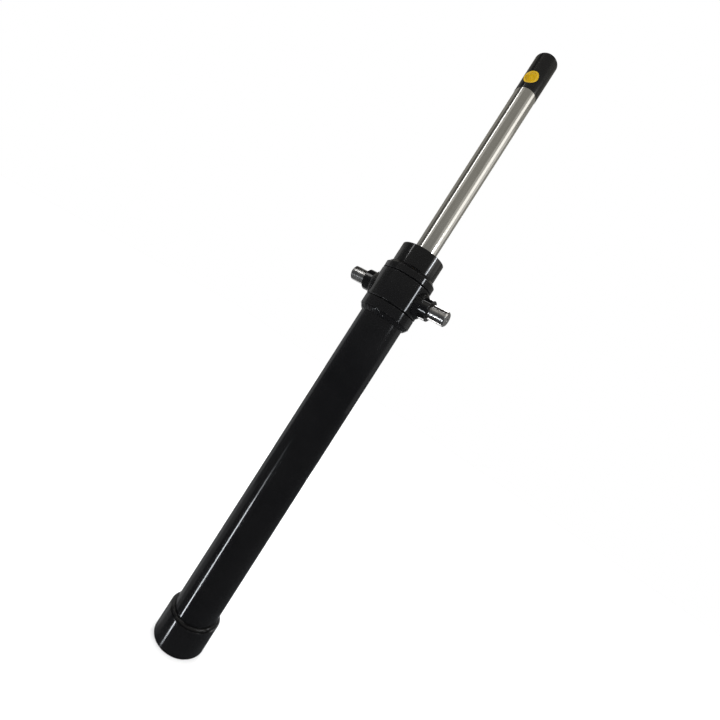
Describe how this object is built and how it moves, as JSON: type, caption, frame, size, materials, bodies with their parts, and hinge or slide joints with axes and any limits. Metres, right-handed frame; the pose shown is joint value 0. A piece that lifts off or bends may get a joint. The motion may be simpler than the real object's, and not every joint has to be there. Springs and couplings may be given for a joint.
{
  "type": "telescopic hydraulic cylinder",
  "caption": "Long black telescopic hydraulic cylinder with a trunnion collar near the top, bare steel trunnion pins and a bright chrome rod ending in a plugged eye.",
  "frame": {"origin": "centre of the base cap's lower face", "axes": "+Z along the cylinder's axis from the base cap to the rod eye, X along the trunnion pins, +Y towards the oil port"},
  "size_m": [0.316, 0.1536, 1.87],
  "materials": {
    "black_paint": "gloss",
    "machined_steel": "turned, bare",
    "hard_chrome": "ground and chromed",
    "turned_steel": "turned, oiled",
    "spring_steel": "phosphated",
    "bronze": "machined",
    "yellow_plastic": "moulded, soft gloss",
    "seal_rubber": "smooth",
    "wear_band": "machined"
  },
  "bodies": {
    "barrel": {"base_cap": "black_paint", "barrel_tube": "black_paint", "base_weld": "black_paint", "lower_stop_ring": "black_paint", "lower_ring_weld": "black_paint", "upper_stop_ring": "black_paint", "upper_ring_weld": "black_paint", "barrel_head": "black_paint", "head_o_ring": "seal_rubber", "head_guide_band": "wear_band", "head_rod_seal": "seal_rubber", "head_wiper": "seal_rubber"},
    "trunnion": {"trunnion_collar": "black_paint", "trunnion_boss_right": "black_paint", "trunnion_boss_left": "black_paint", "boss_weld_right": "black_paint", "boss_weld_left": "black_paint", "trunnion_pin_right": "machined_steel", "trunnion_pin_left": "machined_steel"},
    "stage1": {"stage1_tube": "hard_chrome", "stage1_foot_ring": "turned_steel", "stage1_foot_band": "wear_band", "stage1_stop_ring": "spring_steel", "stage1_rest_ring": "spring_steel", "stage1_gland": "turned_steel", "stage1_o_ring": "seal_rubber", "stage1_guide_band": "wear_band", "stage1_rod_seal": "seal_rubber", "stage1_wiper": "seal_rubber"},
    "stage2": {"stage2_tube": "hard_chrome", "stage2_foot_ring": "turned_steel", "stage2_foot_band": "wear_band", "stage2_stop_ring": "spring_steel", "stage2_rest_ring": "spring_steel", "stage2_gland": "turned_steel", "stage2_o_ring": "seal_rubber", "stage2_guide_band": "wear_band", "stage2_rod_seal": "seal_rubber", "stage2_wiper": "seal_rubber"},
    "plunger_guide": {"plunger_foot_ring": "turned_steel", "plunger_foot_band": "wear_band"},
    "plunger": {"plunger_tube": "hard_chrome", "plunger_foot_plug": "turned_steel", "plunger_stop_ring": "spring_steel", "rod_end_eye": "black_paint", "rod_end_bush": "bronze"},
    "plug": {"transport_plug": "yellow_plastic"}
  },
  "joints": [
    {"name": "trunnion_swivel", "type": "hinge", "parent": "barrel", "child": "trunnion", "pos_m": [0, 0, 1.11175], "axis": [0, 0, 1], "continuous": true},
    {"name": "stage1_slide", "type": "slide", "parent": "barrel", "child": "stage1", "axis": [0, 0, 1], "range_m": [0, 1.05]},
    {"name": "stage2_slide", "type": "slide", "parent": "stage1", "child": "stage2", "axis": [0, 0, 1], "range_m": [0, 1.048]},
    {"name": "plunger_slide", "type": "slide", "parent": "stage2", "child": "plunger_guide", "axis": [0, 0, 1], "range_m": [-0.5, 0.545]},
    {"name": "plunger_turn", "type": "hinge", "parent": "plunger_guide", "child": "plunger", "pos_m": [0, 0, 1.2], "axis": [0, 0, 1], "continuous": true},
    {"name": "plug_pull", "type": "slide", "parent": "plunger", "child": "plug", "axis": [0, -1, 0], "range_m": [0, 0.06]}
  ]
}
